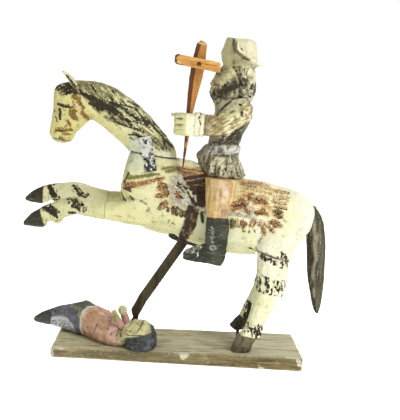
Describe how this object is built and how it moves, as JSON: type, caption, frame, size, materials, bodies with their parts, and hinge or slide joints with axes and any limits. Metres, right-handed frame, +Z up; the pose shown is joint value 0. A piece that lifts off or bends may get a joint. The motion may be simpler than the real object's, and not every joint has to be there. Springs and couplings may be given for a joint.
{
  "type": "santo statue",
  "caption": "Carved and painted wooden rider with a cross on a rearing horse over a fallen figure, propped by a strut on a plank base.",
  "frame": {"origin": "centre of the plank's underside", "axes": "-X is the way the horse faces, +Y is its far flank and +Z is up"},
  "size_m": [0.3138, 0.1046, 0.3286],
  "materials": {
    "board_wood": "weathered grey-brown plank, matt",
    "horse_paint": "cream gesso and paint on carved wood, aged varnish, satin",
    "mend_strip": "grey speckled glued strip, matt",
    "tail_wood": "dark grey-brown paint, worn to cream streaks",
    "strut_wood": "dark brown bare stick, matt",
    "peg_wood": "dark red-brown dowel",
    "rider_paint": "worn cream, grey and olive paint on carved wood",
    "leg_paint": "tan breeches and charcoal boots, worn paint",
    "cross_wood": "orange-brown varnished wood",
    "nail_iron": "rusted nail head",
    "figure_paint": "worn pink, violet-grey and cream paint on carved wood"
  },
  "bodies": {
    "root": {"base_board": "board_wood", "horse_body": "horse_paint", "horse_neck_head": "horse_paint", "horse_ear_near": "horse_paint", "horse_ear_far": "horse_paint", "neck_mend_strip": "mend_strip", "horse_foreleg_near": "horse_paint", "horse_foreleg_far": "horse_paint", "horse_hindleg_near": "horse_paint", "horse_hindleg_far": "horse_paint", "hind_hoof_peg": "peg_wood", "horse_tail": "tail_wood", "belly_strut": "strut_wood", "rider": "rider_paint", "rider_leg_near": "leg_paint", "rider_leg_far": "leg_paint", "cross_shaft": "cross_wood", "cross_bar": "cross_wood", "cross_nail": "nail_iron", "fallen_figure": "figure_paint", "figure_arm_near": "figure_paint", "figure_arm_far": "figure_paint"}
  },
  "joints": []
}
